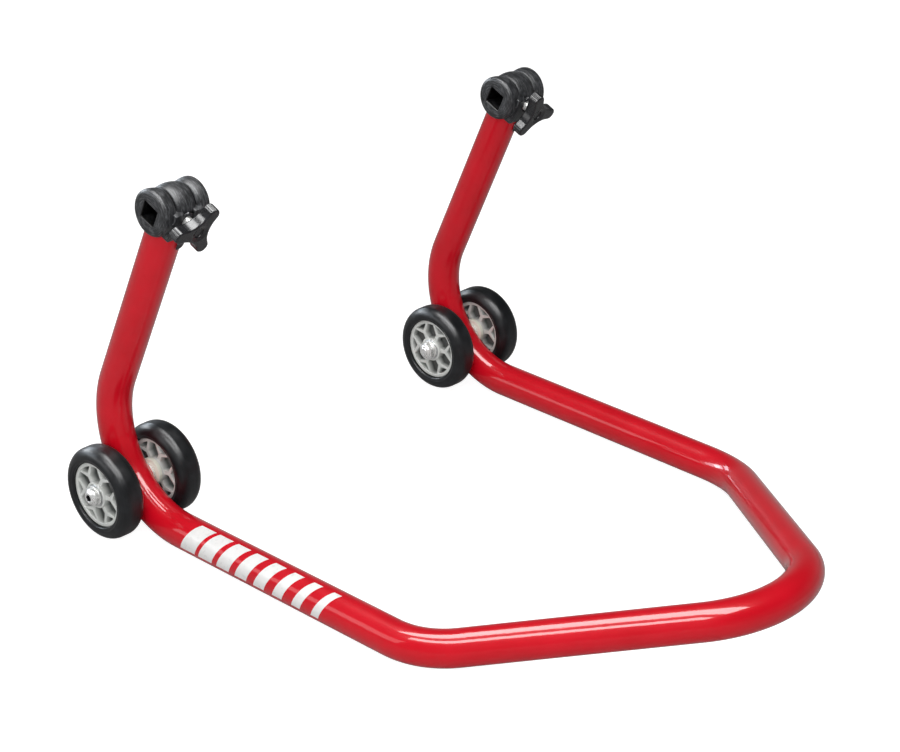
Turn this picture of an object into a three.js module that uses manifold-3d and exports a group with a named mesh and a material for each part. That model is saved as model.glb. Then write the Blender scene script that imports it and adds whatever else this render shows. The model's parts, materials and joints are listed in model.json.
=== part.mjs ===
// Rear paddock stand for a motorcycle: one bent steel tube, four wheels in pairs on two axles, and
// two clamp heads whose square sockets take the adapter bars that carry the swingarm.
// Millimetres, +Z up, standing on z = 0. +Y is the wheel end, -Y the handle, +X the stand's right.

import * as THREE from "three";
import { mergeVertices } from "three/addons/utils/BufferGeometryUtils.js";
import Module from "manifold-3d";

// ---------------------------------------------------------------- driving dimensions

// Frame tube. Corners are where the straight runs would meet if the tube weren't rounded there.
const TUBE_DIAMETER = 35;
const TUBE_WALL = 2;
const BEND_RADIUS = 96; // centreline, the same at all five bends
const KNEE_SPREAD = 471; // between the two knee corners
const ARM_LENGTH = 463.5; // knee corner to handle corner, along the floor
const ARM_TOE_IN = 0.011; // sideways per millimetre of length
const HANDLE_REACH = 276; // handle corner to handle apex, along Y
const HANDLE_RISE = 60; // handle apex above the arms
const HEAD_RISE = 333.7; // arm axis to socket axis
const UPRIGHT_LEAN_BACK = 0.46; // per millimetre of height
const UPRIGHT_LEAN_IN = 0.017;

// Wheels. The stand rests on its tube and the wheels clear the floor a little until it is levered up.
const WHEEL_RADIUS = 47;
const AXLE_HEIGHT = 48.4;
const WHEEL_OFFSET = 36.2; // wheel centre plane to tube centre plane
const TYRE_HALF_WIDTH = 14.4;
const TYRE_SHOULDER = 10.7; // rounding of the tread edge
const TYRE_LIP = 2.6; // chamfer round the rim opening
const RIM_RADIUS = 33;
const RIM_HALF_WIDTH = 10.6;
const RIM_RIDGE = { radius: 36, halfWidth: 5.7 }; // keys the tyre on the rim
const RIM_RING_INSIDE = 29.2;
const WEB_HALF_THICKNESS = 1.6;
const HUB = { radius: 13.3, halfLength: 12, bore: 8.5 };
const SPOKE_COUNT = 6;
const SPOKE = { width: 5, armWidth: 2.8, fork: 20, armSpread: 19, halfDepth: 9.8 };
const BEARING = { outside: 22, width: 6 };
const BEARING_SLEEVE_DIAMETER = 14;

// Axle hardware: M10 button head bolt, self-locking nut, plain washers and nylon spacers.
const AXLE_DIAMETER = 10;
const AXLE_SLEEVE_DIAMETER = 18;
const SPACER = { diameter: 28, thickness: 4.3 };
const PLAIN_WASHER = { diameter: 20, thickness: 2 };
const BOLT_HEAD = { diameter: 17.5, height: 6, rimHeight: 3.2, topDiameter: 11, key: 6, keyDepth: 3.4 };
const AXLE_NUT = { acrossFlats: 17, height: 7.5, chamfer: 1 };
const THREAD_STAND_OUT = 0.9; // bolt end beyond the nut
const THREAD_CHAMFER = 0.8;

// Clamp heads.
const SOCKET = { opening: 18, wall: 3, length: 48 };
const RUBBER = { ridge: 22.4, valley: 19.6, ridgeSpacing: 23, length: 54.6, endRounding: 4.3 };
const BACK_PAD = { halfWidth: 18.5, face: 22.7, top: 11, bottom: -19 };
const TUBE_SEAT_RADIUS = 18.3; // recess under the rubber for the top of the upright
const TAB = { thickness: 1.5, top: -14, bottom: -37 }; // locating tab down the back of the upright
const CLAMP_NUT = { acrossFlats: 17, height: 8.3 };
const STUD_DIAMETER = 10;
const KNOB = { back: 28.7, thickness: 11.5, lobeCentre: 21, lobeTip: 6.5, waist: 11.5, edge: 1.5 };
const KNOB_RECESS = { radius: 5, depth: 2 };
const KNOB_REST_TURN = { left: 56, right: 110 }; // where one lobe points, in degrees
const STUD = { tip: 15.2, end: 36.5, swivelHole: 5, swivelDepth: 3.6 };
const THRUST_PAD = { diameter: 9.2, face: 9.4, back: 14.9, neck: 4.4, neckLength: 3, chamfer: 0.6 };

const GAP = 0.3; // between neighbouring pieces

// Facets round a full circle, and how finely the tube's bends and the rubber's ridges are divided.
const FACETS = { tube: 20, tubeBore: 12, tyre: 24, rim: 18, rubber: 24, hardware: 16, hidden: 12 };
const BEND_STEP = 13; // degrees at most
const RIDGE_STEPS = 12;

// ---------------------------------------------------------------- worked out from them

const TUBE_RADIUS = TUBE_DIAMETER / 2;
const BORE_RADIUS = AXLE_DIAMETER / 2 + GAP;
const LEAN_ANGLE = Math.atan(UPRIGHT_LEAN_BACK);
const WHEEL_INNER_FACE = WHEEL_OFFSET - HUB.halfLength;
const WHEEL_OUTER_FACE = WHEEL_OFFSET + HUB.halfLength;
const SPACER_X = WHEEL_INNER_FACE - GAP - SPACER.thickness / 2;
const AXLE_SLEEVE_LENGTH = 2 * (SPACER_X - SPACER.thickness / 2 - GAP);
const PLAIN_WASHER_X = WHEEL_OUTER_FACE + GAP + PLAIN_WASHER.thickness / 2;
const CLAMPING_X = WHEEL_OUTER_FACE + PLAIN_WASHER.thickness + 2 * GAP; // under head and nut
const SOCKET_HALF_SIZE = SOCKET.opening / 2 + SOCKET.wall; // socket axis to its outside faces

const degrees = THREE.MathUtils.degToRad;

// ---------------------------------------------------------------- finishes

const finish = (color, roughness, metalness) =>
  new THREE.MeshStandardMaterial({ color, roughness, metalness });

const RED_PAINT = finish(0xc90f1f, 0.22, 0.0);
const ZINC = finish(0xb9bcc0, 0.35, 0.9);
const BARE_STEEL = finish(0x6f7276, 0.45, 0.9);
const BEARING_STEEL = finish(0x8f9296, 0.3, 0.9);
const GREY_PLASTIC = finish(0xb4b6b3, 0.5, 0.0);
const WHITE_NYLON = finish(0xe6e3d8, 0.45, 0.0);
const BLACK_TYRE = finish(0x17181a, 0.5, 0.0);
const BLACK_RUBBER = finish(0x222326, 0.6, 0.0);
const BLACK_PLASTIC = finish(0x141416, 0.2, 0.0);

// ---------------------------------------------------------------- solids

const wasm = await Module();
wasm.setup();

function toSolid(geometry) {
  const bare = geometry.clone();
  bare.deleteAttribute("normal");
  bare.deleteAttribute("uv");
  const merged = mergeVertices(bare, 1e-3);
  const mesh = new wasm.Mesh({
    numProp: 3,
    vertProperties: merged.attributes.position.array,
    triVerts: merged.index.array,
  });
  return new wasm.Manifold(mesh);
}

function toGeometry(solid) {
  const { vertProperties, triVerts } = solid.getMesh();
  const geometry = new THREE.BufferGeometry();
  geometry.setAttribute("position", new THREE.BufferAttribute(vertProperties, 3));
  geometry.setIndex(new THREE.BufferAttribute(triVerts, 1));
  geometry.computeVertexNormals();
  return geometry;
}

const joined = (geometries) => geometries.map(toSolid).reduce((whole, piece) => whole.add(piece));

const cutFrom = (geometry, cutters) =>
  toGeometry(toSolid(geometry).subtract(joined(cutters)));

// ---------------------------------------------------------------- shape helpers

const polar = (radius, angle) => [
  radius * Math.cos(degrees(angle)),
  radius * Math.sin(degrees(angle)),
];

// Points on an arc about [x, y], from one angle to another in degrees, both ends included.
function arc([x, y], radius, from, to, steps) {
  return Array.from({ length: steps + 1 }, (_, i) => {
    const angle = degrees(from + ((to - from) * i) / steps);
    return [x + radius * Math.cos(angle), y + radius * Math.sin(angle)];
  });
}

// A body of revolution about Y. The profile lists [radius, y] and runs anticlockwise; a ring's
// profile closes on its first point and a solid body's starts and ends on the axis.
function turnedOnY(profile, segments) {
  const points = profile.map(([radius, y]) => new THREE.Vector2(radius, y));
  if (profile[0][0] > 0) points.push(points[0].clone());
  return new THREE.LatheGeometry(points, segments);
}

const turnedOnX = (profile, segments) => turnedOnY(profile, segments).rotateZ(-Math.PI / 2);

// A plain ring about X, centred on its own middle.
function ringOnX(outerRadius, innerRadius, length, segments) {
  const half = length / 2;
  const profile = [
    [innerRadius, -half],
    [outerRadius, -half],
    [outerRadius, half],
    [innerRadius, half],
  ];
  return turnedOnX(profile, segments);
}

const rodOnX = (radius, length, segments) =>
  new THREE.CylinderGeometry(radius, radius, length, segments).rotateZ(Math.PI / 2);

// A hexagonal prism about Y, pointed towards +Z by a corner.
const hexOnY = (acrossFlats, height) =>
  new THREE.CylinderGeometry(acrossFlats / Math.sqrt(3), acrossFlats / Math.sqrt(3), height, 6);

function squareShape(side) {
  const half = side / 2;
  const corners = [
    [-half, -half],
    [half, -half],
    [half, half],
    [-half, half],
  ];
  return new THREE.Shape(corners.map(([x, y]) => new THREE.Vector2(x, y)));
}

function piece(name, geometry, material, position = [0, 0, 0]) {
  const mesh = new THREE.Mesh(geometry, material);
  mesh.name = name;
  mesh.position.set(...position);
  return mesh;
}

// ---------------------------------------------------------------- frame tube

// The arc that rounds a corner between two straight runs.
function roundedCorner(before, corner, after) {
  const arriving = corner.clone().sub(before).normalize();
  const leaving = after.clone().sub(corner).normalize();
  const turn = arriving.angleTo(leaving);
  const start = corner.clone().addScaledVector(arriving, -BEND_RADIUS * Math.tan(turn / 2));
  const inward = leaving.clone().addScaledVector(arriving, -Math.cos(turn)).normalize();
  const centre = start.clone().addScaledVector(inward, BEND_RADIUS);
  const pointAt = (angle) =>
    centre
      .clone()
      .addScaledVector(inward, -BEND_RADIUS * Math.cos(angle))
      .addScaledVector(arriving, BEND_RADIUS * Math.sin(angle));
  const tangentAt = (angle) =>
    arriving
      .clone()
      .multiplyScalar(Math.cos(angle))
      .addScaledVector(inward, Math.sin(angle));
  return { turn, pointAt, tangentAt };
}

// A tube's centreline. Its stations are close together round the bends and only at the ends of the
// straight runs, so a straight run is one length of tube.
class BentPath extends THREE.Curve {
  constructor(corners, stepAngle) {
    super();
    const last = corners.length - 1;
    const inner = corners.slice(1, last);
    const bends = inner.map((corner, i) => roundedCorner(corners[i], corner, corners[i + 2]));
    this.stations = [{ point: corners[0], tangent: bends[0].tangentAt(0) }];
    for (const bend of bends) {
      const steps = Math.ceil(bend.turn / stepAngle);
      for (let i = 0; i <= steps; i++) {
        const angle = (bend.turn * i) / steps;
        this.stations.push({ point: bend.pointAt(angle), tangent: bend.tangentAt(angle) });
      }
    }
    const lastBend = bends[bends.length - 1];
    this.stations.push({ point: corners[last], tangent: lastBend.tangentAt(lastBend.turn) });
    this.steps = this.stations.length - 1;
  }

  station(t) {
    return this.stations[Math.round(t * this.steps)];
  }

  getPoint(t) {
    return this.station(t).point.clone();
  }

  getTangent(t) {
    return this.station(t).tangent.clone();
  }

  getUtoTmapping(u) {
    return u;
  }
}

// Corners of one side, with the knee corner at y = 0. side is -1 for the left and 1 for the right.
function sideCorners(side) {
  const halfSpread = KNEE_SPREAD / 2;
  const onUpright = (rise) =>
    new THREE.Vector3(
      side * (halfSpread - UPRIGHT_LEAN_IN * rise),
      -UPRIGHT_LEAN_BACK * rise,
      TUBE_RADIUS + rise,
    );
  const belowHead = (SOCKET_HALF_SIZE + 3 * GAP) * Math.cos(LEAN_ANGLE);
  const handleX = side * (halfSpread - ARM_TOE_IN * ARM_LENGTH);
  return {
    head: onUpright(HEAD_RISE),
    tubeTop: onUpright(HEAD_RISE - belowHead),
    knee: onUpright(0),
    handleCorner: new THREE.Vector3(handleX, -ARM_LENGTH, TUBE_RADIUS),
  };
}

const left = sideCorners(-1);
const right = sideCorners(1);
const apex = new THREE.Vector3(0, -ARM_LENGTH - HANDLE_REACH, TUBE_RADIUS + HANDLE_RISE);

// The axle crosses the tube in the knee bend, where its centreline is at the axle's height.
function axleCentre(side) {
  const bend = roundedCorner(side.handleCorner, side.knee, side.tubeTop);
  const turn = Math.acos((BEND_RADIUS + TUBE_RADIUS - AXLE_HEIGHT) / BEND_RADIUS);
  return bend.pointAt(turn);
}

left.axle = axleCentre(left);
right.axle = axleCentre(right);

function frameTube() {
  const corners = [
    left.tubeTop,
    left.knee,
    left.handleCorner,
    apex,
    right.handleCorner,
    right.knee,
    right.tubeTop,
  ];
  const path = new BentPath(corners, degrees(BEND_STEP));
  const circle = (radius, facets) =>
    new THREE.EllipseCurve(0, 0, radius, radius).getPoints(facets).slice(1);
  const section = new THREE.Shape(circle(TUBE_RADIUS, FACETS.tube));
  section.holes.push(new THREE.Path(circle(TUBE_RADIUS - TUBE_WALL, FACETS.tubeBore)));
  const tube = new THREE.ExtrudeGeometry(section, { steps: path.steps, extrudePath: path });
  const drills = [left.axle, right.axle].map(({ x, y, z }) => {
    const drill = rodOnX(AXLE_SLEEVE_DIAMETER / 2 + GAP, 2 * TUBE_DIAMETER, FACETS.hardware);
    return drill.translate(x, y, z);
  });
  return piece("frame_tube", cutFrom(tube, drills), RED_PAINT);
}

// ---------------------------------------------------------------- wheels

function tyreGeometry() {
  const inside = RIM_RADIUS + 2 * GAP;
  const shoulderRadius = WHEEL_RADIUS - TYRE_SHOULDER;
  const shoulderX = TYRE_HALF_WIDTH - TYRE_SHOULDER;
  const groove = { radius: RIM_RIDGE.radius + 2 * GAP, halfWidth: RIM_RIDGE.halfWidth + GAP };
  const profile = [
    [inside, -TYRE_HALF_WIDTH + TYRE_LIP],
    [inside + TYRE_LIP, -TYRE_HALF_WIDTH],
    ...arc([shoulderRadius, -shoulderX], TYRE_SHOULDER, -90, 0, 3),
    ...arc([shoulderRadius, shoulderX], TYRE_SHOULDER, 0, 90, 3),
    [inside + TYRE_LIP, TYRE_HALF_WIDTH],
    [inside, TYRE_HALF_WIDTH - TYRE_LIP],
    [inside, groove.halfWidth],
    [groove.radius, groove.halfWidth],
    [groove.radius, -groove.halfWidth],
    [inside, -groove.halfWidth],
  ];
  return turnedOnX(profile, FACETS.tyre);
}

// Outer ring, centre web and hub in one profile, with a pocket for a bearing at each end.
function rimBlank() {
  const pocket = { radius: BEARING.outside / 2 + GAP, floor: HUB.halfLength - BEARING.width - GAP };
  const upperHalf = [
    [RIM_RIDGE.radius, RIM_RIDGE.halfWidth],
    [RIM_RADIUS, RIM_RIDGE.halfWidth],
    [RIM_RADIUS, RIM_HALF_WIDTH],
    [RIM_RING_INSIDE, RIM_HALF_WIDTH],
    [RIM_RING_INSIDE, WEB_HALF_THICKNESS],
    [HUB.radius, WEB_HALF_THICKNESS],
    [HUB.radius, HUB.halfLength],
    [pocket.radius, HUB.halfLength],
    [pocket.radius, pocket.floor],
    [HUB.bore, pocket.floor],
  ];
  const lowerHalf = upperHalf.map(([radius, x]) => [radius, -x]).reverse();
  return turnedOnX([...upperHalf, ...lowerHalf], FACETS.rim);
}

// A straight rib from one point of the wheel's plane to another.
function rib([y1, z1], [y2, z2], width) {
  const length = Math.hypot(y2 - y1, z2 - z1);
  const bar = new THREE.BoxGeometry(2 * SPOKE.halfDepth, length, width);
  return bar.rotateX(Math.atan2(z2 - z1, y2 - y1)).translate(0, (y1 + y2) / 2, (z1 + z2) / 2);
}

// Each spoke leaves the hub as one rib and forks into two before it reaches the ring.
function rimGeometry() {
  const ringMiddle = (RIM_RING_INSIDE + RIM_RADIUS) / 2;
  const hubMiddle = (HUB.radius + BEARING.outside / 2 + GAP) / 2;
  const ribs = [];
  for (let i = 0; i < SPOKE_COUNT; i++) {
    const angle = (360 * i) / SPOKE_COUNT;
    const fork = polar(SPOKE.fork, angle);
    ribs.push(rib(polar(hubMiddle, angle), fork, SPOKE.width));
    ribs.push(rib(fork, polar(ringMiddle, angle + SPOKE.armSpread), SPOKE.armWidth));
    ribs.push(rib(fork, polar(ringMiddle, angle - SPOKE.armSpread), SPOKE.armWidth));
  }
  return toGeometry(toSolid(rimBlank()).add(joined(ribs)));
}

const TYRE = tyreGeometry();
const RIM = rimGeometry();
const BEARING_RING = ringOnX(BEARING.outside / 2, BORE_RADIUS, BEARING.width, FACETS.hidden);
const BEARING_SLEEVE = ringOnX(
  BEARING_SLEEVE_DIAMETER / 2,
  BORE_RADIUS,
  2 * (HUB.halfLength - BEARING.width - GAP),
  FACETS.hidden,
);

// One wheel, with its two bearings and the sleeve that keeps their inner rings apart.
function wheel(name, x) {
  const bearingX = HUB.halfLength - BEARING.width / 2;
  const group = new THREE.Group();
  group.position.x = x;
  group.add(
    piece(`${name}_tyre`, TYRE, BLACK_TYRE),
    piece(`${name}_rim`, RIM, GREY_PLASTIC),
    piece(`${name}_bearing_left`, BEARING_RING, BEARING_STEEL, [-bearingX, 0, 0]),
    piece(`${name}_bearing_right`, BEARING_RING, BEARING_STEEL, [bearingX, 0, 0]),
    piece(`${name}_bearing_sleeve`, BEARING_SLEEVE, BARE_STEEL),
  );
  return group;
}

// ---------------------------------------------------------------- axles

// The bolt's head is at -X and its shank runs towards +X.
function boltGeometry() {
  const end = CLAMPING_X + AXLE_NUT.height + THREAD_STAND_OUT;
  const shank = AXLE_DIAMETER / 2;
  const headTop = -CLAMPING_X - BOLT_HEAD.height;
  const profile = [
    [0, headTop],
    [BOLT_HEAD.topDiameter / 2, headTop],
    [BOLT_HEAD.diameter / 2, headTop + BOLT_HEAD.height - BOLT_HEAD.rimHeight],
    [BOLT_HEAD.diameter / 2, -CLAMPING_X],
    [shank, -CLAMPING_X],
    [shank, end - THREAD_CHAMFER],
    [shank - THREAD_CHAMFER, end],
    [0, end],
  ];
  const key = hexOnY(BOLT_HEAD.key, 2 * BOLT_HEAD.keyDepth).rotateZ(Math.PI / 2);
  return cutFrom(turnedOnX(profile, FACETS.hardware), [key.translate(headTop, 0, 0)]);
}

function nutGeometry() {
  const { acrossFlats, height, chamfer } = AXLE_NUT;
  const corner = acrossFlats / Math.sqrt(3);
  const half = height / 2;
  const envelope = [
    [0, -half],
    [corner - chamfer, -half],
    [corner + GAP, -half + chamfer],
    [corner + GAP, half - chamfer],
    [corner - chamfer, half],
    [0, half],
  ];
  const blank = toSolid(hexOnY(acrossFlats, 2 * height));
  const hex = blank.intersect(toSolid(turnedOnY(envelope, FACETS.hardware)));
  const bore = new THREE.CylinderGeometry(BORE_RADIUS, BORE_RADIUS, 2 * height, FACETS.hardware);
  return toGeometry(hex.subtract(toSolid(bore))).rotateZ(-Math.PI / 2);
}

// A welded sleeve through the tube, the bolt through it, and a spacer and a washer either side.
// outward is -1 on the left arm and 1 on the right: the bolt's head is on the stand's outside.
function axle(side, outward) {
  const washer = ringOnX(PLAIN_WASHER.diameter / 2, BORE_RADIUS, PLAIN_WASHER.thickness, FACETS.hardware);
  const spacer = ringOnX(SPACER.diameter / 2, BORE_RADIUS, SPACER.thickness, FACETS.hardware);
  const sleeve = ringOnX(AXLE_SLEEVE_DIAMETER / 2, BORE_RADIUS, AXLE_SLEEVE_LENGTH, FACETS.hidden);
  const bolt = piece(`${side}_axle_bolt`, boltGeometry(), ZINC);
  bolt.rotation.y = outward < 0 ? 0 : Math.PI;
  const group = new THREE.Group();
  group.add(
    piece(`${side}_axle_sleeve`, sleeve, BARE_STEEL),
    bolt,
    piece(`${side}_axle_nut`, nutGeometry(), ZINC, [-outward * (CLAMPING_X + AXLE_NUT.height / 2), 0, 0]),
    piece(`${side}_bolt_washer`, washer, ZINC, [outward * PLAIN_WASHER_X, 0, 0]),
    piece(`${side}_nut_washer`, washer, ZINC, [-outward * PLAIN_WASHER_X, 0, 0]),
    piece(`${side}_outer_spacer`, spacer, WHITE_NYLON, [outward * SPACER_X, 0, 0]),
    piece(`${side}_inner_spacer`, spacer, WHITE_NYLON, [-outward * SPACER_X, 0, 0]),
  );
  return group;
}

// ---------------------------------------------------------------- clamp heads

// All in the head's own frame: X along the socket, +Z up the upright, -Y towards the knob.

function socketGeometry() {
  const section = squareShape(SOCKET.opening + 2 * SOCKET.wall);
  section.holes.push(squareShape(SOCKET.opening));
  const tube = new THREE.ExtrudeGeometry(section, { depth: SOCKET.length, bevelEnabled: false });
  tube.translate(0, 0, -SOCKET.length / 2).rotateY(Math.PI / 2);
  const screwHole = new THREE.CylinderGeometry(BORE_RADIUS, BORE_RADIUS, SOCKET.opening, FACETS.hidden);
  return cutFrom(tube, [screwHole.translate(0, -SOCKET.opening, 0)]);
}

function clampNutGeometry() {
  const bore = new THREE.CylinderGeometry(BORE_RADIUS, BORE_RADIUS, 2 * CLAMP_NUT.height, FACETS.hidden);
  const middle = SOCKET_HALF_SIZE + GAP + CLAMP_NUT.height / 2;
  return cutFrom(hexOnY(CLAMP_NUT.acrossFlats, CLAMP_NUT.height), [bore]).translate(0, -middle, 0);
}

// Three rounded ridges with shallow valleys between them and a rounded shoulder at each end.
function rubberBody() {
  const half = RUBBER.length / 2;
  const shoulderX = half - RUBBER.endRounding;
  const shoulderRadius = RUBBER.ridge - RUBBER.endRounding;
  const radiusAt = (x) => {
    const ridge = Math.abs(Math.cos((Math.PI * x) / RUBBER.ridgeSpacing));
    return RUBBER.valley + (RUBBER.ridge - RUBBER.valley) * ridge;
  };
  const wave = Array.from({ length: RIDGE_STEPS + 1 }, (_, i) => {
    const x = shoulderX * ((2 * i) / RIDGE_STEPS - 1);
    return [radiusAt(x), x];
  });
  const profile = [
    [0, -half],
    ...arc([shoulderRadius, -shoulderX], RUBBER.endRounding, -90, -30, 2),
    ...wave,
    ...arc([shoulderRadius, shoulderX], RUBBER.endRounding, 30, 90, 2),
    [0, half],
  ];
  return turnedOnX(profile, FACETS.rubber);
}

// The flat pad behind the socket, where the knob faces the rubber.
function rubberBackPad() {
  const height = BACK_PAD.top - BACK_PAD.bottom;
  const pad = new THREE.BoxGeometry(2 * BACK_PAD.halfWidth, BACK_PAD.face, height);
  return pad.translate(0, -BACK_PAD.face / 2, BACK_PAD.bottom + height / 2);
}

// The tab that runs a little way down the back of the upright, on its +X half.
function rubberTab() {
  const outer = TUBE_SEAT_RADIUS + TAB.thickness;
  const height = TAB.top - TAB.bottom;
  const column = new THREE.CylinderGeometry(outer, outer, height, FACETS.rubber);
  column.rotateX(Math.PI / 2).translate(0, 0, TAB.bottom + height / 2);
  const quarter = new THREE.BoxGeometry(outer, outer, 2 * height);
  quarter.translate(outer / 2, -outer / 2, TAB.bottom);
  return toSolid(column).intersect(toSolid(quarter));
}

function rubberGeometry() {
  const socketRoom = SOCKET.opening + 2 * (SOCKET.wall + GAP);
  const nutRoom = SOCKET_HALF_SIZE + CLAMP_NUT.height + 2 * GAP;
  const onKnobAxis = (radius, depth) =>
    new THREE.CylinderGeometry(radius, radius, depth, FACETS.hidden).translate(0, -depth / 2, 0);
  const cutters = [
    new THREE.BoxGeometry(SOCKET.length + 2 * GAP, socketRoom, socketRoom),
    new THREE.BoxGeometry(2 * RUBBER.length, SOCKET.opening, SOCKET.opening),
    new THREE.CylinderGeometry(TUBE_SEAT_RADIUS, TUBE_SEAT_RADIUS, RUBBER.length, FACETS.rubber)
      .rotateX(Math.PI / 2)
      .translate(0, 0, -SOCKET_HALF_SIZE - RUBBER.length / 2),
    onKnobAxis(CLAMP_NUT.acrossFlats / Math.sqrt(3) + GAP, nutRoom),
    onKnobAxis(STUD_DIAMETER / 2 + 3 * GAP, 2 * BACK_PAD.face),
  ];
  const outside = joined([rubberBody(), rubberBackPad()]).add(rubberTab());
  return toGeometry(outside.subtract(joined(cutters)));
}

// Three lobes with round tips, joined by hollow flanks that are tangent to the tips.
function knobOutline() {
  const { lobeCentre, lobeTip, waist, edge } = KNOB;
  const tip = lobeTip - edge;
  const slack = lobeTip - waist;
  const flankCentre = (lobeCentre ** 2 - slack ** 2) / (lobeCentre + 2 * slack);
  const flank = flankCentre - waist + edge;
  const lobeX = lobeCentre - flankCentre * Math.cos(degrees(60));
  const touch = THREE.MathUtils.radToDeg(Math.atan2(flankCentre * Math.sin(degrees(60)), -lobeX));
  const opening = 120 - touch;
  const points = [];
  for (const turn of [0, 120, 240]) {
    const back = turn + 240; // from the flank's centre towards the knob's axis
    const lobe = arc(polar(lobeCentre, turn), tip, turn - touch, turn + touch, 6);
    const hollow = arc(polar(flankCentre, turn + 60), flank, back + opening, back - opening, 4);
    points.push(...lobe, ...hollow.slice(1, -1));
  }
  return new THREE.Shape(points.map(([x, y]) => new THREE.Vector2(x, y)));
}

function knobGeometry() {
  const body = new THREE.ExtrudeGeometry(knobOutline(), {
    depth: KNOB.thickness - 2 * KNOB.edge,
    bevelThickness: KNOB.edge,
    bevelSize: KNOB.edge,
    bevelSegments: 1,
  });
  body.translate(0, 0, KNOB.edge);
  const hole = (radius, depth) =>
    new THREE.CylinderGeometry(radius, radius, 2 * depth, FACETS.hidden).rotateX(Math.PI / 2);
  const studHole = hole(BORE_RADIUS, STUD.end + GAP - KNOB.back);
  const recess = hole(KNOB_RECESS.radius, KNOB_RECESS.depth).translate(0, 0, KNOB.thickness);
  return cutFrom(body, [studHole, recess]).rotateX(Math.PI / 2).translate(0, -KNOB.back, 0);
}

// A plain rod for the thread, with a blind hole in its tip for the thrust pad's neck.
function studGeometry() {
  const radius = STUD_DIAMETER / 2;
  const profile = [
    [0, -STUD.end],
    [radius, -STUD.end],
    [radius, -STUD.tip - THREAD_CHAMFER],
    [radius - THREAD_CHAMFER, -STUD.tip],
    [STUD.swivelHole / 2, -STUD.tip],
    [STUD.swivelHole / 2, -STUD.tip - STUD.swivelDepth],
    [0, -STUD.tip - STUD.swivelDepth],
  ];
  return turnedOnY(profile, FACETS.hardware);
}

function thrustPadGeometry() {
  const radius = THRUST_PAD.diameter / 2;
  const neck = THRUST_PAD.neck / 2;
  const profile = [
    [0, -THRUST_PAD.back - THRUST_PAD.neckLength],
    [neck, -THRUST_PAD.back - THRUST_PAD.neckLength],
    [neck, -THRUST_PAD.back],
    [radius, -THRUST_PAD.back],
    [radius, -THRUST_PAD.face - THRUST_PAD.chamfer],
    [radius - THRUST_PAD.chamfer, -THRUST_PAD.face],
    [0, -THRUST_PAD.face],
  ];
  return turnedOnY(profile, FACETS.hardware);
}

function clampHead(side, centre) {
  const knob = piece(`${side}_knob`, knobGeometry(), BLACK_PLASTIC);
  knob.rotation.y = -degrees(KNOB_REST_TURN[side]);
  const group = new THREE.Group();
  group.position.copy(centre);
  group.rotation.x = LEAN_ANGLE;
  group.add(
    piece(`${side}_socket`, socketGeometry(), BARE_STEEL),
    piece(`${side}_clamp_nut`, clampNutGeometry(), BARE_STEEL),
    piece(`${side}_rubber_sleeve`, rubberGeometry(), BLACK_RUBBER),
    knob,
    piece(`${side}_clamp_stud`, studGeometry(), ZINC),
    piece(`${side}_thrust_pad`, thrustPadGeometry(), BEARING_STEEL),
  );
  return group;
}

// ---------------------------------------------------------------- assembly

function wheelsAndAxle(side, centre, outward) {
  const group = new THREE.Group();
  group.position.copy(centre);
  group.add(
    axle(side, outward),
    wheel(`${side}_outer_wheel`, outward * WHEEL_OFFSET),
    wheel(`${side}_inner_wheel`, -outward * WHEEL_OFFSET),
  );
  return group;
}

// The footprint runs from the front of the tyres to the back of the handle bend.
function footprintMiddle() {
  const bend = roundedCorner(left.handleCorner, apex, right.handleCorner);
  const front = left.axle.y + WHEEL_RADIUS;
  const back = bend.pointAt(bend.turn / 2).y - TUBE_RADIUS;
  return (front + back) / 2;
}

const stand = new THREE.Group();
stand.position.y = -footprintMiddle();
stand.add(
  frameTube(),
  wheelsAndAxle("left", left.axle, -1),
  wheelsAndAxle("right", right.axle, 1),
  clampHead("left", left.head),
  clampHead("right", right.head),
);

export default stand;
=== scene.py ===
"""Rear paddock stand for a motorcycle: its finished shapes, materials, floor, light and camera.

Every piece is built in metres in the row frame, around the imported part: +Z up, standing on z = 0,
+Y the wheel end, -Y the handle. A piece stands for a CAD node and rides on that node's body.
"""

import json
import math

import bmesh
import bpy
from mathutils import Matrix, Vector


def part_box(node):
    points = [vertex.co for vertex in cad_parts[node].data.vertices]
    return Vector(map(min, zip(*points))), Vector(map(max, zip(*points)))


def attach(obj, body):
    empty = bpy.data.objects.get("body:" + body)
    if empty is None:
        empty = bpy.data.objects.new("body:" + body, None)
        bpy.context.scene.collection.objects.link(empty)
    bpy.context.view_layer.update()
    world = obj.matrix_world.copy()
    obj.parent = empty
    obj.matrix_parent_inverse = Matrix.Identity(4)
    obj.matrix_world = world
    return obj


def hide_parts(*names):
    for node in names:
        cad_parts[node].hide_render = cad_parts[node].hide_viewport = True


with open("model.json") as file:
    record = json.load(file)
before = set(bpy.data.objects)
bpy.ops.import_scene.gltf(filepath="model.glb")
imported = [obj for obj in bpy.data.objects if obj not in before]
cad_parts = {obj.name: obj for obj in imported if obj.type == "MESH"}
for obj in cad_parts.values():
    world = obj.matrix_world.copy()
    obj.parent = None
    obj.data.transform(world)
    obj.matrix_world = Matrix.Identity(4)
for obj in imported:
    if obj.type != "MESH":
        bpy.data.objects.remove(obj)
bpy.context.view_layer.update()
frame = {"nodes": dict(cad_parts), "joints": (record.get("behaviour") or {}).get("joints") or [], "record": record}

RECORD = frame["record"]
JOINTS = {joint["name"]: joint for joint in frame["joints"]}
BODY_OF = {node: body for body, nodes in RECORD["behaviour"]["bodies"].items() for node in nodes}
SIDES = {"left": -1, "right": 1}
PLACES = ("outer", "inner")

# ---------------- sizes, in metres, and angles, in degrees

MM = 0.001

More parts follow.
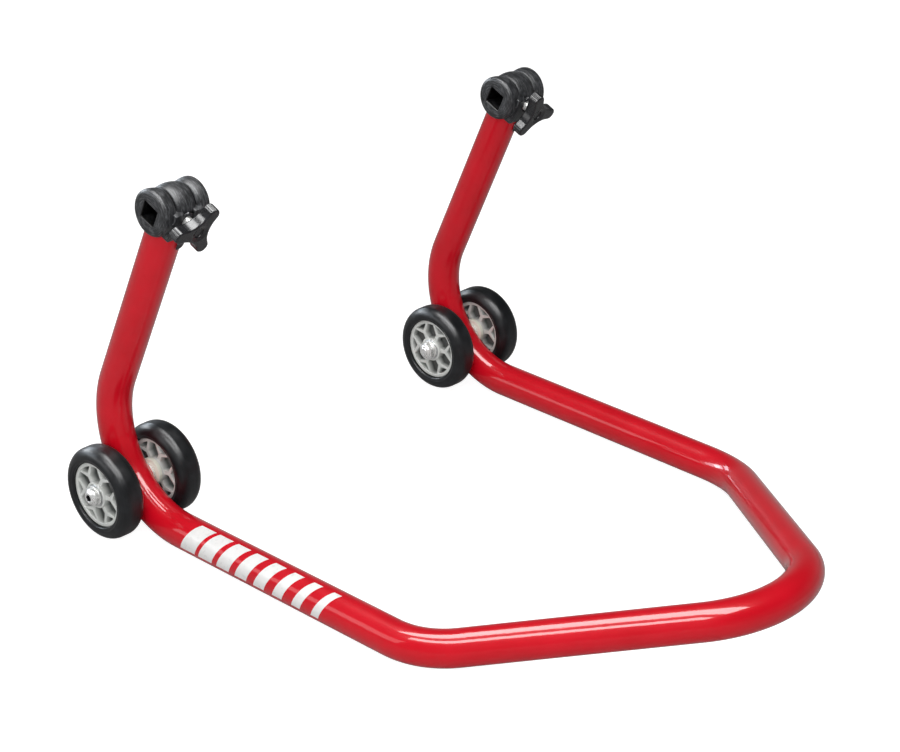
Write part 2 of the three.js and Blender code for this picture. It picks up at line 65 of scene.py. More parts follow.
# Frame tube: the corners are where its straight runs would meet.
TUBE_RADIUS = 17.5 * MM
TUBE_WALL = 2 * MM
BEND_RADIUS = 96 * MM
ARM_LENGTH = 463.5 * MM
ARM_TOE_IN = 0.011
HANDLE_REACH = 276 * MM
HANDLE_RISE = 60 * MM
UPRIGHT_LEAN_IN = 0.017
TUBE_TOP_BELOW_SOCKET = 12.9 * MM

# Bars on the left arm: along it from the knee, and round it, in degrees up from level.
BAR_COUNT = 8
BARS_START = 172 * MM
BARS_END = 376 * MM
BARS_LOW_ANGLE = -20
BARS_HIGH_ANGLE = 86
BAR_SLANT = 16 * MM
BAR_STEPS = 14
WIDEST_BAR_SHARE = 0.80
BAR_SHARE_STEP = 0.06
FILM_UNDERSIDE = 0.03 * MM
FILM_TOP = 0.07 * MM

# Wheels.
TYRE_SHOULDER = 10.7 * MM
TYRE_SIDE_GROOVE = 0.5 * MM
RIM_RADIUS = 33 * MM
RIM_HALF_WIDTH = 10.6 * MM
RIM_RING_INSIDE = 29.2 * MM
WEB_HALF_THICKNESS = 1.6 * MM
HUB_RADIUS = 13.3 * MM
HUB_HALF_LENGTH = 12 * MM
HUB_BORE = 8.5 * MM
BEARING_RADIUS = 11 * MM
BEARING_WIDTH = 6 * MM
SPOKE_COUNT = 6
SPOKE_HALF_WIDTH = 2.0 * MM
SPOKE_HALF_DEPTH = 9.8 * MM
SPOKE_FORK = 20 * MM
SPOKE_ARM_HALF_WIDTH = 1.05 * MM
SPOKE_ARM_SPREAD = 19
RIM_REST_TURN = -6

# Hardware.
THREAD_RADIUS = 5 * MM
THREAD_PITCH = 1.5 * MM
THREAD_DEPTH = 0.85 * MM
KEY_ACROSS_FLATS = 6 * MM
KEY_DEPTH = 3.4 * MM
BOLT_HEAD_RADIUS = 8.75 * MM
BOLT_HEAD_HEIGHT = 6 * MM
BOLT_RIM_HEIGHT = 3.2 * MM
BOLT_TOP_RADIUS = 5.5 * MM
BOLT_SHANK_RADIUS = 4.9 * MM
BOLT_THREAD_LENGTH = 12 * MM
NUT_ACROSS_FLATS = 17 * MM
NUT_COLLAR_HEIGHT = 2.2 * MM
NUT_COLLAR_RADIUS = 7.2 * MM
TIGHT_BORE = THREAD_RADIUS + 0.1 * MM
FREE_BORE = THREAD_RADIUS + 0.15 * MM
WELD_BEAD = 0.8 * MM

# Clamp heads, in each head's own frame: X along the socket, Y into it from the knob, and Z up
# the upright.
SOCKET_HALF_OPENING = 9 * MM
SOCKET_HALF_SIZE = 12 * MM
SOCKET_HALF_LENGTH = 24 * MM
SLEEVE_RIDGE = 22.4 * MM
SLEEVE_VALLEY = 19.6 * MM
SLEEVE_RIDGE_SPACING = 23 * MM
VALLEY_SLIT_DEPTH = 1.5 * MM
VALLEY_SLIT_HALF_WIDTH = 1.2 * MM
SLEEVE_HALF_LENGTH = 27.3 * MM
SLEEVE_END_ROUNDING = 4.3 * MM
PAD_HALF_WIDTH = 18.5 * MM
PAD_FACE = 22.7 * MM
PAD_TOP = 11 * MM
PAD_BROAD_TOP = 3 * MM
LEDGE_HALF_WIDTH = 5.5 * MM
PAD_BOTTOM = -19 * MM
PAD_EDGE = 1.1 * MM
TAB_THICKNESS = 1.5 * MM
TAB_TOP = -14 * MM
TAB_BOTTOM = -37 * MM
TUBE_SEAT_RADIUS = 18.3 * MM
NUT_ROOM_RADIUS = 10.1 * MM
NUT_ROOM_DEPTH = 20.9 * MM
STUD_ROOM_RADIUS = 5.9 * MM
KNOB_BACK = 28.7 * MM
KNOB_THICKNESS = 11.5 * MM
KNOB_LOBE_CENTRE = 21 * MM
KNOB_LOBE_TIP = 6.5 * MM
KNOB_WAIST = 11.5 * MM
KNOB_TIP_STEPS = 72
KNOB_RIB_SPAN = 58
KNOB_RIB_DEPTH = 0.3 * MM
KNOB_RIBS_PER_TURN = 28
KNOB_EDGE = 1.7 * MM
KNOB_DISH_RADIUS = 9 * MM
KNOB_DISH_DEPTH = 1.1 * MM
KNOB_WELL_RADIUS = 5 * MM
KNOB_WELL_DEPTH = 2.4 * MM
KNOB_REST_TURN = {"left": 56, "right": 110}
STUD_TIP = 15.2 * MM
STUD_END = 36.5 * MM

# ---------------- outlines


def polar(radius, angle):
    """A point in the plane, with the angle in degrees."""
    return Vector((radius * math.cos(math.radians(angle)), radius * math.sin(math.radians(angle))))


def arc(centre, radius, start, end, steps):
    """Points on an arc, both ends included, with angles in degrees."""
    return [centre + polar(radius, start + (end - start) * i / steps) for i in range(steps + 1)]


def filleted(corners, radius, steps=5):
    """A closed outline with its corners rounded. radius is one number, or one for each corner."""
    count = len(corners)
    radii = [radius] * count if isinstance(radius, (int, float)) else radius
    outline = []
    for i, size in enumerate(radii):
        corner = Vector(corners[i])
        if size == 0:
            outline.append(corner)
            continue
        before = (Vector(corners[i - 1]) - corner).normalized()
        after = (Vector(corners[(i + 1) % count]) - corner).normalized()
        half = before.angle(after) / 2
        middle = (before + after).normalized()
        centre = corner + middle * (size / math.sin(half))
        sweep = math.pi / 2 - half
        turn = 1 if before.cross(after) < 0 else -1
        for k in range(steps + 1):
            angle = turn * sweep * (2 * k / steps - 1)
            outline.append(centre - Matrix.Rotation(angle, 2) @ (middle * size))
    return outline


# ---------------- meshes


def finished(bm, sharp_angle=35):
    """A mesh from bm, with outward faces, smooth except over edges sharper than the angle."""
    bmesh.ops.remove_doubles(bm, verts=bm.verts, dist=1e-7)
    bmesh.ops.recalc_face_normals(bm, faces=bm.faces)
    for face in bm.faces:
        face.smooth = True
    mesh = bpy.data.meshes.new("shape")
    bm.to_mesh(mesh)
    bm.free()
    mesh.set_sharp_from_angle(angle=math.radians(sharp_angle))
    return mesh


def joined(*meshes):
    """A finished mesh of one or more closed bodies."""
    bm = bmesh.new()
    for mesh in meshes:
        bm.from_mesh(mesh)
    return finished(bm)


def add_faces(bm, ring, following):
    """Quads between two rings of vertices, or triangles where one of them is a single point."""
    count = max(len(ring), len(following))
    for i in range(count):
        j = (i + 1) % count
        corners = [ring[i % len(ring)], ring[j % len(ring)]]
        corners += [following[j % len(following)], following[i % len(following)]]
        bm.faces.new(dict.fromkeys(corners))


def swept(rings, closed=False, capped=False):
    """A bmesh skinned over rings of points."""
    bm = bmesh.new()
    rows = [[bm.verts.new(point) for point in ring] for ring in rings]
    for row, following in zip(rows, rows[1:]):
        add_faces(bm, row, following)
    if closed:
        add_faces(bm, rows[-1], rows[0])
    if capped:
        bm.faces.new(rows[0])
        bm.faces.new(rows[-1])
    return bm


def turned(profile, segments=96, sharp_angle=35):
    """A body turned about X from (radius, x) points: a ring, or solid where it starts on the axis."""
    def ring(radius, x):
        if radius < 1e-9:
            return [Vector((x, 0, 0))]
        angles = [math.tau * i / segments for i in range(segments)]
        return [Vector((x, radius * math.cos(a), radius * math.sin(a))) for a in angles]

    solid = profile[0][0] < 1e-9
    return finished(swept([ring(r, x) for r, x in profile], closed=not solid), sharp_angle)


def both_sides(half):
    """The (radius, x) points of one half and of its mirror image across x = 0."""
    return [*half, *[(radius, -x) for radius, x in reversed(half)]]


def rod(radius, start, end, segments=64):
    """A plain round rod along X."""
    return turned([(0, start), (radius, start), (radius, end), (0, end)], segments)


def turned_ring(inner, outer, half_length, fillet, segments=96):
    """A plain ring about X with rounded edges."""
    corners = [(inner, -half_length), (outer, -half_length), (outer, half_length), (inner, half_length)]
    return turned(filleted(corners, fillet), segments)


def evaluated_mesh(obj):
    """A new mesh of an object with its modifiers applied. The object is removed."""
    bpy.context.scene.collection.objects.link(obj)
    graph = bpy.context.evaluated_depsgraph_get()
    graph.update()
    mesh = bpy.data.meshes.new_from_object(obj.evaluated_get(graph))
    bpy.data.objects.remove(obj)
    return mesh


def plate(outlines, depth, edge, edge_steps=3):
    """A plate in the XY plane with rounded edges, centred on z = 0. Later outlines are holes."""
    curve = bpy.data.curves.new("plate", "CURVE")
    curve.dimensions = "2D"
    curve.fill_mode = "BOTH"
    curve.extrude = depth / 2 - edge
    curve.bevel_depth = edge
    curve.bevel_resolution = edge_steps
    curve.offset = -edge
    for outline in outlines:
        spline = curve.splines.new("POLY")
        spline.points.add(len(outline) - 1)
        for point, place in zip(spline.points, outline):
            point.co = (place.x, place.y, 0, 1)
        spline.use_cyclic_u = True
    return joined(evaluated_mesh(bpy.data.objects.new("plate", curve)))


def boolean(mesh, operation, *tools):
    """The mesh joined with, cut by or kept within each tool in turn."""
    for tool in tools:
        target = bpy.data.objects.new("target", mesh)
        other = bpy.data.objects.new("tool", tool)
        bpy.context.scene.collection.objects.link(other)
        modifier = target.modifiers.new("boolean", "BOOLEAN")
        modifier.operation = operation
        modifier.object = other
        modifier.solver = "MANIFOLD"
        mesh = evaluated_mesh(target)
        bpy.data.objects.remove(other)
    return joined(mesh)


def moved(mesh, matrix):
    """A copy of the mesh, moved by the matrix."""
    copy = mesh.copy()
    copy.transform(matrix)
    return copy


def box_mesh(low, high, edge=0.0):
    """A box with rounded edges."""
    size = Vector(high) - Vector(low)
    middle = (Vector(high) + Vector(low)) / 2
    bm = bmesh.new()
    bmesh.ops.create_cube(bm, size=1)
    bmesh.ops.scale(bm, vec=size, verts=bm.verts)
    bmesh.ops.translate(bm, vec=middle, verts=bm.verts)
    if edge:
        bmesh.ops.bevel(bm, geom=bm.edges, offset=edge, segments=4, profile=0.5, affect="EDGES")
    return finished(bm)


def threaded_rod(start, end):
    """A helical thread along X, with a chamfer at both ends."""
    per_pitch, segments = 10, 48
    steps = max(4, round((end - start) / THREAD_PITCH * per_pitch))
    rings = []
    for i in range(steps + 1):
        x = start + (end - start) * i / steps
        ring = []
        for k in range(segments):
            share = (x / THREAD_PITCH - k / segments) % 1
            crest = min(1, 1.25 * (1 - abs(2 * share - 1)))
            radius = THREAD_RADIUS - THREAD_DEPTH * (1 - crest)
            to_end = min(x - start, end - x)
            radius = min(radius, THREAD_RADIUS - THREAD_DEPTH + to_end)
            angle = math.tau * k / segments
            ring.append(Vector((x, radius * math.cos(angle), radius * math.sin(angle))))
        rings.append(ring)
    return finished(swept(rings, capped=True), sharp_angle=50)


def mark_painted_shade(mesh, in_painted_shade):
    """Marks the faces whose centre is in a hollow, which the materials darken as painted shade."""
    attribute = mesh.attributes.new("recess", "FLOAT", "FACE")
    for face, value in zip(mesh.polygons, attribute.data):
        value.value = 1.0 if in_painted_shade(*face.center) else 0.0
    return mesh


def mark_turned(mesh):
    """Stores how far along and how far round X each point is, for streaks that run round."""
    streak = 6 * MM
    attribute = mesh.attributes.new("turned", "FLOAT_VECTOR", "POINT")
    for point, value in zip(mesh.vertices, attribute.data):
        radius = math.hypot(point.co.y, point.co.z)
        scale = streak / max(radius, MM)
        value.vector = (point.co.x + radius, point.co.y * scale, point.co.z * scale)
    return mesh


def placed(mesh, name, material, body):
    """A new object of one material that rides on a body."""
    obj = bpy.data.objects.new(name, mesh)
    bpy.context.scene.collection.objects.link(obj)
    mesh.materials.clear()
    mesh.materials.append(material)
    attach(obj, body)
    return obj


def show(mesh, node, material, weighted=False):
    """Puts a finished shape in place of a CAD node. Weighted normals keep broad faces flat."""
    obj = placed(mesh, f"{node}_shape", material, BODY_OF[node])
    if weighted:
        obj.modifiers.new("even_shading", "WEIGHTED_NORMAL").keep_sharp = True
    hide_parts(node)


# ---------------- materials


class Surface:
    """A node material built round one Principled shader."""

    def __init__(self, name, metallic=0.0):
        self.material = bpy.data.materials.new(name)
        self.material.use_nodes = True
        nodes = self.material.node_tree.nodes
        self.new = nodes.new
        self.link = self.material.node_tree.links.new
        self.shader = nodes["Principled BSDF"]
        self.shader.inputs["Metallic"].default_value = metallic
        self.height = None

    def set(self, **values):
        """Sets shader inputs by name, with _ for each space."""
        for name, value in values.items():
            self.shader.inputs[name.replace("_", " ")].default_value = value

    def place(self, attribute=None, stretch=(1, 1, 1)):
        """Where a point is, in metres in the row frame or from a stored attribute."""
        if attribute:
            source = self.new("ShaderNodeAttribute")
            source.attribute_name = attribute
            output = source.outputs["Vector"]
        else:
            output = self.new("ShaderNodeTexCoord").outputs["Object"]
        scale = self.new("ShaderNodeVectorMath")
        scale.operation = "MULTIPLY"
        scale.inputs[1].default_value = stretch
        self.link(output, scale.inputs[0])
        return scale.outputs["Vector"]

    def noise(self, place, feature, detail=3.0, roughness=0.55):
        """Noise whose features are about that many metres across."""
        node = self.new("ShaderNodeTexNoise")
        node.inputs["Scale"].default_value = 1 / feature
        node.inputs["Detail"].default_value = detail
        node.inputs["Roughness"].default_value = roughness
        self.link(place, node.inputs["Vector"])
        return node.outputs["Fac"]

    def hollow(self):
        """How far into a hollow a point is, from 0 to 1, as stored in the mesh: the share of painted shade there.
        """
        node = self.new("ShaderNodeAttribute")
        node.attribute_name = "recess"
        return node.outputs["Fac"]

    def spread(self, value, low, high, to_low, to_high):
        """Maps low..high to to_low..to_high, held at both ends."""
        node = self.new("ShaderNodeMapRange")
        for socket, number in zip(node.inputs[1:5], (low, high, to_low, to_high)):
            socket.default_value = number
        self.link(value, node.inputs["Value"])
        return node.outputs["Result"]

    def blend(self, share, first, second):
        """Mixes two colours, each a triple or an output."""
        node = self.new("ShaderNodeMix")
        node.data_type = "RGBA"
        for socket, colour in ((node.inputs["A"], first), (node.inputs["B"], second)):
            if isinstance(colour, tuple):
                socket.default_value = (*colour, 1)
            else:
                self.link(colour, socket)
        self.link(share, node.inputs["Factor"])
        return node.outputs["Result"]

    def fade(self, value, low, high, first, second, most=1):
        """The first colour, mixed with up to most of the second as the value goes from low to high."""
        return self.blend(self.spread(value, low, high, 0, most), first, second)

    def colour(self, output):
        self.link(output, self.shader.inputs["Base Color"])

    def roughness(self, value, low, high, to_low, to_high):
        self.link(self.spread(value, low, high, to_low, to_high), self.shader.inputs["Roughness"])

    def bump(self, height, depth):
        """Adds relief of that many metres to what is there already."""
        node = self.new("ShaderNodeBump")
        node.inputs["Distance"].default_value = depth
        self.link(height, node.inputs["Height"])
        if self.height:
            self.link(self.height, node.inputs["Normal"])
        self.height = node.outputs["Normal"]
        self.link(self.height, self.shader.inputs["Normal"])


def red_paint():
    """Gloss powder coat: a slight orange peel under a clear, hard shine."""
    surface = Surface("red_paint")
    surface.set(Specular_IOR_Level=0.1, Coat_Weight=1.0, Coat_Roughness=0.035, Coat_IOR=1.4)
    place = surface.place()
    cloud = surface.noise(place, 45 * MM, detail=4)
    grain = surface.noise(place, 0.9 * MM, detail=2)
    tone = surface.fade(cloud, 0.35, 0.65, (0.60, 0.0025, 0.012), (0.67, 0.0035, 0.016))
    surface.colour(surface.fade(grain, 0.3, 0.75, tone, (0.72, 0.006, 0.016), most=0.3))
    # A wider range of roughness shows as thin dark lines in the paint.
    surface.roughness(cloud, 0.35, 0.65, 0.293, 0.32)
    surface.bump(surface.noise(place, 6 * MM, detail=0), 0.006 * MM)
    return surface.material


def tyre_rubber():
    """Satin black rubber with faint turning lines and a little dust."""
    surface = Surface("tyre_rubber")
    around = surface.place("turned", (1, 0.25, 0.25))
    lines = surface.noise(around, 0.7 * MM, detail=4, roughness=0.7)
    bloom = surface.noise(surface.place(), 14 * MM, detail=5)
    black = surface.fade(lines, 0.35, 0.75, (0.003, 0.0035, 0.0042), (0.012, 0.013, 0.0155))
    surface.colour(surface.fade(bloom, 0.5, 0.8, black, (0.026, 0.028, 0.033), most=0.5))
    surface.roughness(bloom, 0.3, 0.7, 0.28, 0.42)
    surface.set(Specular_IOR_Level=0.42)
    surface.bump(lines, 0.03 * MM)
    surface.bump(surface.noise(surface.place(), 0.6 * MM, detail=2), 0.02 * MM)
    return surface.material


def sleeve_rubber():
    """Charcoal rubber, scuffed pale in strokes that run round the ridges, with painted shade, near black, in its
    marked hollows.
    """
    surface = Surface("sleeve_rubber")
    around = surface.place("turned", (1, 0.5, 0.5))
    strokes = surface.noise(around, 1.1 * MM, detail=5, roughness=0.65)
    patches = surface.noise(surface.place(), 9 * MM, detail=3)
    charcoal = surface.fade(patches, 0.3, 0.7, (0.008, 0.0085, 0.0095), (0.022, 0.023, 0.026))
    scuffed = surface.fade(strokes, 0.48, 0.72, charcoal, (0.17, 0.175, 0.185), most=0.75)
    # Painted shade: near black in the square passage and in the valley slits.
    surface.colour(surface.blend(surface.hollow(), scuffed, (0.003, 0.003, 0.003)))
    surface.set(Specular_IOR_Level=0.42)
    surface.roughness(strokes, 0.3, 0.7, 0.32, 0.5)
    surface.bump(strokes, 0.09 * MM)
    surface.bump(surface.noise(surface.place(), 0.5 * MM, detail=2), 0.03 * MM)
    return surface.material


def rim_plastic():
    """Light grey moulded plastic with a fine grain, with painted shade darkening it down in the rim's pockets."""
    surface = Surface("rim_plastic")
    place = surface.place()
    grain = surface.noise(place, 0.55 * MM, detail=3)
    cloud = surface.noise(place, 8 * MM, detail=3)
    grey = surface.fade(cloud, 0.3, 0.7, (0.62, 0.635, 0.61), (0.72, 0.735, 0.71))
    grey = surface.fade(grain, 0.55, 0.8, grey, (0.55, 0.56, 0.54), most=0.5)
    # Painted shade: the grey darkens towards near black down in the pockets.
    surface.colour(surface.fade(surface.hollow(), 0.05, 0.7, grey, (0.06, 0.064, 0.062), most=0.92))
    surface.roughness(grain, 0.3, 0.7, 0.3, 0.46)
    surface.bump(grain, 0.04 * MM)
    return surface.material


def white_nylon():
    """Off-white nylon, turned, so its lines run round it."""
    surface = Surface("white_nylon")
    lines = surface.noise(surface.place("turned", (1, 0.15, 0.15)), 0.5 * MM, detail=3)
    cloud = surface.noise(surface.place(), 6 * MM)
    surface.colour(surface.fade(cloud, 0.3, 0.7, (0.80, 0.84, 0.72), (0.87, 0.90, 0.79)))
    surface.roughness(lines, 0.3, 0.7, 0.32, 0.48)
    surface.bump(lines, 0.03 * MM)
    return surface.material


def metal(name, dark, light, roughness, feature, depth, shine=1.0):
    """Metal with a cloudy tone, small pits and a roughness that varies with them; marked hollows get painted
    shade, near black.
    """
    surface = Surface(name, metallic=shine)
    place = surface.place()
    cloud = surface.noise(place, feature, detail=4)
    pits = surface.noise(place, 0.8 * MM, detail=1)
    tone = surface.fade(cloud, 0.35, 0.65, dark, light)
    # Painted shade: near black where the mesh marks a hollow.
    surface.colour(surface.blend(surface.hollow(), tone, (0.02, 0.02, 0.02)))
    surface.roughness(pits, 0.3, 0.7, roughness - 0.07, roughness + 0.1)
    surface.bump(pits, depth)
    return surface.material


def knob_plastic():
    """Black moulded plastic, glossy, with hair scratches and a faint grain."""
    surface = Surface("knob_plastic")
    surface.set(IOR=1.5)
    place = surface.place()
    drawn_out = surface.place(stretch=(1, 0.12, 1))
    scratches = surface.noise(drawn_out, 0.5 * MM, detail=4, roughness=0.7)
    cloud = surface.noise(place, 5 * MM)
    surface.colour(surface.fade(cloud, 0.3, 0.7, (0.009, 0.009, 0.01), (0.02, 0.02, 0.023)))
    surface.roughness(scratches, 0.35, 0.75, 0.14, 0.34)
    surface.bump(scratches, 0.015 * MM)
    surface.bump(surface.noise(place, 1.4 * MM), 0.02 * MM)
    return surface.material


def decal_film():
    """White printed film with a slightly uneven tone and shine."""
    surface = Surface("decal_film")
    place = surface.place()
    cloud = surface.noise(place, 5 * MM, detail=4)
    surface.colour(surface.fade(cloud, 0.3, 0.7, (0.85, 0.85, 0.84), (0.89, 0.89, 0.88)))
    surface.roughness(cloud, 0.3, 0.7, 0.24, 0.4)
    surface.bump(surface.noise(place, 1.2 * MM), 0.01 * MM)
    return surface.material


RED_PAINT = red_paint()
TYRE_RUBBER = tyre_rubber()
SLEEVE_RUBBER = sleeve_rubber()
RIM_PLASTIC = rim_plastic()
WHITE_NYLON = white_nylon()
KNOB_PLASTIC = knob_plastic()
DECAL_FILM = decal_film()
ZINC = metal("zinc", (0.74, 0.74, 0.72), (0.88, 0.88, 0.87), 0.3, 3 * MM, 0.002 * MM, shine=0.6)
BARE_STEEL = metal("bare_steel", (0.16, 0.16, 0.165), (0.34, 0.34, 0.35), 0.45, 5 * MM, 0.03 * MM)
# Nearly black steel for the sockets: painted shade for the inside of the square passage.
SOCKET_SHADE_STEEL = metal("socket_shade_steel", (0.02, 0.02, 0.022), (0.05, 0.05, 0.055), 0.5, 5 * MM, 0.03 * MM)
BEARING_STEEL = metal("bearing_steel", (0.62, 0.63, 0.64), (0.78, 0.79, 0.8), 0.36, 4 * MM, 0.01 * MM)

# ---------------- frame tube


def head_place(side):
    """The matrix that takes a clamp head's own frame to the row frame."""
    joint = JOINTS[f"{side}_clamp_feed"]
    across = Vector((1, 0, 0))
    inward = Vector(joint["axis"]).normalized()
    place = Matrix((across, inward, across.cross(inward))).transposed().to_4x4()
    place.translation = Vector(joint["pos_m"])
    return place


def tube_corners(side):
    """Tube end, knee corner and handle corner of one side."""
    place = head_place(side)
    head = place.translation
    outward = SIDES[side]
    rise = head.z - TUBE_RADIUS
    upright = Vector((outward * UPRIGHT_LEAN_IN, place.col[1].z / place.col[1].y, -1))
    knee = head + upright * rise
    top = head + upright * (TUBE_TOP_BELOW_SOCKET * place.col[1].y)
    handle = knee + Vector((-outward * ARM_TOE_IN, -1, 0)) * ARM_LENGTH
    return top, knee, handle


def rounded_path(corners, step=2.5):
    """Stations (point, tangent) along straight runs joined by bends, close together in the bends."""
    stations = []
    for before, corner, after in zip(corners, corners[1:], corners[2:]):
        arriving = (corner - before).normalized()
        leaving = (after - corner).normalized()
        turn = arriving.angle(leaving)
        start = corner - arriving * (BEND_RADIUS * math.tan(turn / 2))
        inward = (leaving - arriving * math.cos(turn)).normalized()
        centre = start + inward * BEND_RADIUS
        steps = math.ceil(math.degrees(turn) / step)
        for i in range(steps + 1):
            angle = turn * i / steps
            outwards = inward * (BEND_RADIUS * math.cos(angle))
            onwards = arriving * (BEND_RADIUS * math.sin(angle))
            tangent = arriving * math.cos(angle) + inward * math.sin(angle)
            stations.append((centre - outwards + onwards, tangent))
    first, last = corners[0], corners[-1]
    return [(first, stations[0][1])] + stations + [(last, stations[-1][1])]


def tube_rings(stations, radius, segments):
    """Circles along the path that don't twist."""
    rings = []
    normal = stations[0][1].orthogonal().normalized()
    for point, tangent in stations:
        normal = (normal - tangent * normal.dot(tangent)).normalized()
        binormal = tangent.cross(normal)
        angles = [math.tau * i / segments for i in range(segments)]
        rings.append([point + radius * (normal * math.cos(a) + binormal * math.sin(a)) for a in angles])
    return rings


def frame_tube():
    left_top, left_knee, left_handle = tube_corners("left")
    right_top, right_knee, right_handle = tube_corners("right")
    apex = (left_handle + right_handle) / 2 + Vector((0, -HANDLE_REACH, HANDLE_RISE))
    corners = [left_top, left_knee, left_handle, apex, right_handle, right_knee, right_top]
    stations = rounded_path(corners)
    outside = tube_rings(stations, TUBE_RADIUS, 80)
    inside = tube_rings(stations, TUBE_RADIUS - TUBE_WALL, 80)
    mesh = finished(swept(outside + inside[::-1], closed=True))
    show(mesh, "frame_tube", RED_PAINT)


def add_sheet(bm, rows):
    """Quads between neighbouring rows of vertices."""
    for row, following in zip(rows, rows[1:]):
        for k in range(len(row) - 1):
            bm.faces.new((row[k], row[k + 1], following[k + 1], following[k]))


def add_bar(bm, start, width, on_arm):
    """One slanted bar, a closed film. on_arm gives a point of the arm."""
    layers = []
    for radius in (TUBE_RADIUS + FILM_UNDERSIDE, TUBE_RADIUS + FILM_TOP):
        rows = []
        for i in range(BAR_STEPS + 1):
            share = i / BAR_STEPS
            angle = math.radians(BARS_LOW_ANGLE + (BARS_HIGH_ANGLE - BARS_LOW_ANGLE) * share)
            at = start + BAR_SLANT * (share - 0.5)
            ends = (at, at + width / 2, at + width)
            rows.append([bm.verts.new(on_arm(distance, angle, radius)) for distance in ends])
        layers.append(rows)
        add_sheet(bm, rows)
    under, over = layers
    for edge in (0, -1):
        add_sheet(bm, [under[edge], over[edge]])
        add_sheet(bm, [[row[edge] for row in under], [row[edge] for row in over]])


def arm_decal():
    """Slanted bars on the outside of the left arm, wide to narrow, each a thin film on the tube."""
    _, knee, handle = tube_corners("left")
    along = (handle - knee).normalized()
    outward = Vector((-1, 0, 0))
    outward = (outward - along * outward.dot(along)).normalized()
    up = outward.cross(along)

    def on_arm(distance, angle, radius):
        direction = outward * math.cos(angle) + up * math.sin(angle)
        return knee + along * distance + direction * radius

    pitch = (BARS_END - BARS_START) / BAR_COUNT
    bm = bmesh.new()
    for bar in range(BAR_COUNT):
        width = pitch * (WIDEST_BAR_SHARE - BAR_SHARE_STEP * bar)
        add_bar(bm, BARS_START + pitch * bar, width, on_arm)
    placed(finished(bm), "left_arm_decal", DECAL_FILM, "frame")


# ---------------- wheels


def tyre_mesh():
    """The tyre about the wheel's own centre, with a groove in each side wall next to the rim."""
    _, half_width, radius = node_span("left_outer_wheel_tyre")
    shoulder = radius - TYRE_SHOULDER
    inside = RIM_RADIUS + 0.35 * MM
    lip = 1.6 * MM
    half = [
        (inside, half_width - 2.8 * MM),
        *arc(Vector((inside + lip, half_width - 2.2 * MM)), lip, 180, 90, 4),
        (shoulder + 0.2 * MM, half_width - TYRE_SIDE_GROOVE),
        (shoulder + 0.9 * MM, half_width - 0.08 * MM),
        *arc(Vector((shoulder, half_width - TYRE_SHOULDER)), TYRE_SHOULDER, 84, 0, 16),
    ]
    return mark_turned(turned(both_sides(half), 128, sharp_angle=40))


def spider_pockets():
    """Outlines of the pockets between the spokes, and of those in each spoke's fork."""
    ring = RIM_RING_INSIDE
    gap = 360 / SPOKE_COUNT
    fork_side = SPOKE_FORK - 0.6 * MM
    arm_half = math.degrees(SPOKE_ARM_HALF_WIDTH / ring) * 1.12  # the arms cross the ring at a slant
    inner_edge = SPOKE_ARM_SPREAD - arm_half
    outer_edge = SPOKE_ARM_SPREAD + arm_half
    hub_half = math.degrees(math.asin(SPOKE_HALF_WIDTH * 1.25 / HUB_RADIUS))
    fork_half = math.degrees(math.asin(SPOKE_HALF_WIDTH / fork_side))
    pockets = []
    for i in range(SPOKE_COUNT):
        middle = gap * i
        crotch = [
            polar(SPOKE_FORK + 2.6 * SPOKE_ARM_HALF_WIDTH, middle),
            polar(ring, middle + inner_edge),
            polar(ring, middle),
            polar(ring, middle - inner_edge),
        ]
        pockets.append(filleted(crotch, [0.5 * MM, 0.6 * MM, 0, 0.6 * MM], 4))
        pocket = [
            polar(HUB_RADIUS, middle + hub_half),
            polar(fork_side, middle + fork_half),
            polar(ring, middle + outer_edge),
            polar(ring, middle + gap / 2),
            polar(ring, middle + gap - outer_edge),
            polar(fork_side, middle + gap - fork_half),
            polar(HUB_RADIUS, middle + gap - hub_half),
            polar(HUB_RADIUS, middle + gap / 2),
        ]
        rounding = [0.8 * MM, 1.2 * MM, 0.6 * MM, 0, 0.6 * MM, 1.2 * MM, 0.8 * MM, 0]
        pockets.append(filleted(pocket, rounding, 4))
    return pockets


def rim_mesh():
    """Outer ring, spokes with pockets between them, centre web and hub, joined in one body."""
    ring = turned_ring(RIM_RING_INSIDE, RIM_RADIUS, RIM_HALF_WIDTH, 0.9 * MM, 128)
    edge = arc(Vector((0, 0)), RIM_RING_INSIDE + 1.5 * MM, 0, 357, 119)
    centre = arc(Vector((0, 0)), HUB_RADIUS - 1 * MM, 0, 354, 59)
    spider = plate([edge, centre, *spider_pockets()], 2 * SPOKE_HALF_DEPTH, 0.4 * MM)
    spider.transform(Matrix(((0, 0, 1, 0), (1, 0, 0, 0), (0, 1, 0, 0), (0, 0, 0, 1))))  # XY to YZ
    web = turned_ring(HUB_RADIUS - 0.8 * MM, RIM_RING_INSIDE + 1 * MM, WEB_HALF_THICKNESS, 0, 120)
    pocket_floor = HUB_HALF_LENGTH - BEARING_WIDTH - 0.3 * MM
    pocket_radius = BEARING_RADIUS + 0.2 * MM
    half = [
        (HUB_RADIUS, HUB_HALF_LENGTH),
        (pocket_radius, HUB_HALF_LENGTH),
        (pocket_radius, pocket_floor),
        (HUB_BORE, pocket_floor),
    ]
    rounding = [0.7 * MM, 0.3 * MM, 0, 0.3 * MM]
    hub = turned(filleted(both_sides(half), rounding + rounding[::-1]))
    return mark_pocket_shade(boolean(ring, "UNION", web, hub, spider))


def mark_pocket_shade(mesh):
    """Stores how far below the spokes' faces each point between hub and ring is, from 0 to 1: how much painted
    shade the rim's pockets get.
    """
    attribute = mesh.attributes.new("recess", "FLOAT", "POINT")
    for point, value in zip(mesh.vertices, attribute.data):
        radius = math.hypot(point.co.y, point.co.z)
        if HUB_RADIUS - MM < radius < RIM_RING_INSIDE + MM:
            value.value = max(0.0, 1 - abs(point.co.x) / SPOKE_HALF_DEPTH)
    return mesh


